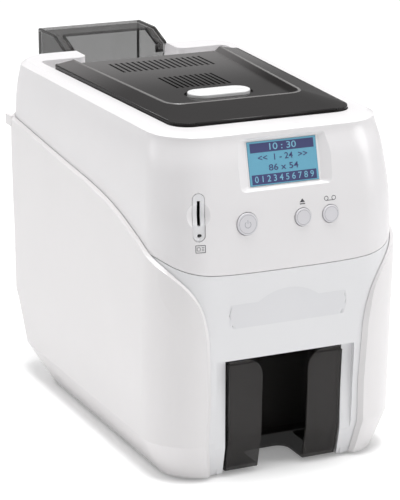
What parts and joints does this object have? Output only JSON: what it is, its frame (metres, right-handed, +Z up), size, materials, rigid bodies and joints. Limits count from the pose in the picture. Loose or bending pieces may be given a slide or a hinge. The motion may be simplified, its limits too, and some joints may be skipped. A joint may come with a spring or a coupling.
{
  "type": "id card printer",
  "caption": "Desktop plastic-card printer with hinged lid, thermal head and ribbon inside, smoked card hoppers front and rear, small display and push buttons.",
  "frame": {"origin": "middle of the footprint, on the surface the feet stand on", "axes": "+X to the right seen from the front, +Y to the back, +Z up"},
  "size_m": [0.1982, 0.379, 0.2674],
  "materials": {
    "white_cover": "smooth glossy white",
    "lid_white": "smooth glossy white",
    "side_white": "smooth satin white",
    "front_white": "fine texture white",
    "inlay_grey": "plain light grey",
    "base_grey": "powder coat",
    "foot_rubber": "matt black",
    "smoked": "dark translucent tint",
    "feeder_white": "smooth white",
    "display": "lit blue display",
    "display_body": "plated frame",
    "button_white": "satin white",
    "board_green": "solder mask",
    "key_white": "satin white",
    "reader_black": "moulded black",
    "steel_sheet": "zinc plated",
    "guide_black": "moulded black",
    "roller_rubber": "soft rubber on steel",
    "pinch_steel": "moulded roller",
    "cleaning_blue": "tacky blue sleeve",
    "belt_rubber": "matt black",
    "motor_steel": "dark laminations",
    "pulley_metal": "turned",
    "pin_steel": "drawn rod",
    "latch_grey": "moulded",
    "bracket_steel": "folded sheet",
    "head_alloy": "milled, with a dark heating line",
    "cassette_blue": "moulded",
    "film_roll": "wound film",
    "film_web": "thin film",
    "gear_white": "moulded",
    "weight_grey": "painted",
    "port_black": "moulded"
  },
  "bodies": {
    "housing": {"upper_cover": "white_cover", "left_side_cover": "side_white", "right_side_cover": "side_white", "front_panel": "front_white", "rear_panel": "front_white", "nameplate": "inlay_grey", "base_pan": "base_grey", "foot_front_left": "foot_rubber", "foot_front_right": "foot_rubber", "foot_rear_left": "foot_rubber", "foot_rear_right": "foot_rubber", "input_hopper": "smoked", "feeder_base": "feeder_white", "lcd_window": "display", "lcd_module": "display_body", "button_board": "board_green", "main_board": "board_green", "key_slot_bezel": "key_white", "key_reader": "reader_black", "frame_plate_left": "steel_sheet", "frame_plate_right": "steel_sheet", "cross_plate": "steel_sheet", "card_guide": "guide_black", "drive_belt": "belt_rubber", "transport_motor": "motor_steel", "lid_hinge_pin": "pin_steel", "power_port": "port_black", "usb_port": "port_black", "network_port": "port_black"},
    "lid_release": {"lid_release_button": "lid_white"},
    "output_hopper": {"output_hopper": "smoked"},
    "lid": {"top_lid": "smoked", "ribbon_motor": "motor_steel", "head_bracket": "bracket_steel", "print_head": "head_alloy", "ribbon_cassette": "cassette_blue", "ribbon_film": "film_web"},
    "power_button": {"power_button": "button_white"},
    "eject_button": {"eject_button": "button_white"},
    "ribbon_button": {"ribbon_button": "button_white"},
    "feed_roller_rear": {"feed_roller_rear": "roller_rubber"},
    "feed_roller_centre": {"feed_roller_centre": "roller_rubber"},
    "feed_roller_front": {"feed_roller_front": "roller_rubber"},
    "feed_roller_exit": {"feed_roller_exit": "roller_rubber"},
    "exit_roller": {"exit_roller": "roller_rubber"},
    "platen_roller": {"platen_roller": "roller_rubber"},
    "pick_roller": {"pick_roller": "roller_rubber"},
    "pinch_roller_centre": {"pinch_roller_centre": "pinch_steel"},
    "pinch_roller_front": {"pinch_roller_front": "pinch_steel"},
    "pinch_roller_exit": {"pinch_roller_exit": "pinch_steel"},
    "exit_pinch_roller": {"exit_pinch_roller": "pinch_steel"},
    "cleaning_roller": {"cleaning_roller": "cleaning_blue"},
    "motor_pulley": {"motor_pulley": "pulley_metal"},
    "lid_latch": {"lid_latch": "latch_grey"},
    "supply_spool": {"supply_spool": "film_roll"},
    "takeup_spool": {"takeup_spool": "film_roll", "takeup_gear": "gear_white"},
    "ribbon_pinion": {"ribbon_pinion": "gear_white"},
    "card_weight": {"card_weight": "weight_grey"}
  },
  "joints": [
    {"name": "lid_hinge", "type": "hinge", "parent": "housing", "child": "lid", "pos_m": [0, 0.07131, 0.2535], "axis": [-1, 0, 0], "range_deg": [0, 75]},
    {"name": "lid_release_press", "type": "slide", "parent": "lid", "child": "lid_release", "axis": [0, 0, -1], "range_m": [0, 0.003], "stiffness_N_per_m": 400},
    {"name": "lid_latch_slide", "type": "slide", "parent": "lid", "child": "lid_latch", "axis": [0, 1, 0], "range_m": [0, 0.003]},
    {"name": "power_press", "type": "slide", "parent": "housing", "child": "power_button", "axis": [0, 0.9942, -0.108], "range_m": [0, 0.0008], "stiffness_N_per_m": 600},
    {"name": "eject_press", "type": "slide", "parent": "housing", "child": "eject_button", "axis": [0, 0.9942, -0.108], "range_m": [0, 0.0008], "stiffness_N_per_m": 600},
    {"name": "ribbon_press", "type": "slide", "parent": "housing", "child": "ribbon_button", "axis": [0, 0.9942, -0.108], "range_m": [0, 0.0008], "stiffness_N_per_m": 600},
    {"name": "output_hopper_slide", "type": "slide", "parent": "housing", "child": "output_hopper", "axis": [0, -1, 0], "range_m": [0, 0.045]},
    {"name": "card_weight_lift", "type": "slide", "parent": "housing", "child": "card_weight", "axis": [0, 0, 1], "range_m": [0, 0.06]},
    {"name": "platen_spin", "type": "hinge", "parent": "housing", "child": "platen_roller", "pos_m": [0, 0.01531, 0.123], "axis": [1, 0, 0], "continuous": true},
    {"name": "pick_spin", "type": "hinge", "parent": "housing", "child": "pick_roller", "pos_m": [0, 0.15731, 0.123], "axis": [1, 0, 0], "continuous": true},
    {"name": "motor_pulley_spin", "type": "hinge", "parent": "housing", "child": "motor_pulley", "pos_m": [0, -0.00769, 0.08], "axis": [1, 0, 0], "continuous": true},
    {"name": "supply_spin", "type": "hinge", "parent": "lid", "child": "supply_spool", "pos_m": [0, 0.04531, 0.168], "axis": [1, 0, 0], "continuous": true},
    {"name": "takeup_spin", "type": "hinge", "parent": "lid", "child": "takeup_spool", "pos_m": [0, -0.01469, 0.168], "axis": [1, 0, 0], "continuous": true},
    {"name": "ribbon_pinion_spin", "type": "hinge", "parent": "lid", "child": "ribbon_pinion", "pos_m": [0, -0.01469, 0.1896], "axis": [1, 0, 0], "continuous": true},
    {"name": "feed_roller_rear_spin", "type": "hinge", "parent": "housing", "child": "feed_roller_rear", "pos_m": [0, 0.11031, 0.123], "axis": [1, 0, 0], "continuous": true},
    {"name": "feed_roller_centre_spin", "type": "hinge", "parent": "housing", "child": "feed_roller_centre", "pos_m": [0, 0.06231, 0.123], "axis": [1, 0, 0], "continuous": true},
    {"name": "feed_roller_front_spin", "type": "hinge", "parent": "housing", "child": "feed_roller_front", "pos_m": [0, -0.03069, 0.123], "axis": [1, 0, 0], "continuous": true},
    {"name": "feed_roller_exit_spin", "type": "hinge", "parent": "housing", "child": "feed_roller_exit", "pos_m": [0, -0.07669, 0.123], "axis": [1, 0, 0], "continuous": true},
    {"name": "exit_roller_spin", "type": "hinge", "parent": "housing", "child": "exit_roller", "pos_m": [0, -0.12269, 0.123], "axis": [1, 0, 0], "continuous": true},
    {"name": "cleaning_roller_spin", "type": "hinge", "parent": "housing", "child": "cleaning_roller", "pos_m": [0, 0.11031, 0.1353], "axis": [1, 0, 0], "continuous": true},
    {"name": "pinch_roller_centre_spin", "type": "hinge", "parent": "housing", "child": "pinch_roller_centre", "pos_m": [0, 0.06231, 0.1353], "axis": [1, 0, 0], "continuous": true},
    {"name": "pinch_roller_front_spin", "type": "hinge", "parent": "housing", "child": "pinch_roller_front", "pos_m": [0, -0.03069, 0.1353], "axis": [1, 0, 0], "continuous": true},
    {"name": "pinch_roller_exit_spin", "type": "hinge", "parent": "housing", "child": "pinch_roller_exit", "pos_m": [0, -0.07669, 0.1353], "axis": [1, 0, 0], "continuous": true},
    {"name": "exit_pinch_roller_spin", "type": "hinge", "parent": "housing", "child": "exit_pinch_roller", "pos_m": [0, -0.12269, 0.1353], "axis": [1, 0, 0], "continuous": true}
  ],
  "couplings": [
    {"joint": "lid_latch_slide", "follows": "lid_release_press", "ratio": 1},
    {"joint": "pick_spin", "follows": "platen_spin", "ratio": 1},
    {"joint": "motor_pulley_spin", "follows": "platen_spin", "ratio": 1},
    {"joint": "takeup_spin", "follows": "supply_spin", "ratio": 1.6364},
    {"joint": "ribbon_pinion_spin", "follows": "supply_spin", "ratio": -4.6753},
    {"joint": "feed_roller_rear_spin", "follows": "platen_spin", "ratio": 1},
    {"joint": "feed_roller_centre_spin", "follows": "platen_spin", "ratio": 1},
    {"joint": "feed_roller_front_spin", "follows": "platen_spin", "ratio": 1},
    {"joint": "feed_roller_exit_spin", "follows": "platen_spin", "ratio": 1},
    {"joint": "exit_roller_spin", "follows": "platen_spin", "ratio": 1},
    {"joint": "cleaning_roller_spin", "follows": "platen_spin", "ratio": -1.4},
    {"joint": "pinch_roller_centre_spin", "follows": "platen_spin", "ratio": -1.4},
    {"joint": "pinch_roller_front_spin", "follows": "platen_spin", "ratio": -1.4},
    {"joint": "pinch_roller_exit_spin", "follows": "platen_spin", "ratio": -1.4},
    {"joint": "exit_pinch_roller_spin", "follows": "platen_spin", "ratio": -1.4}
  ]
}
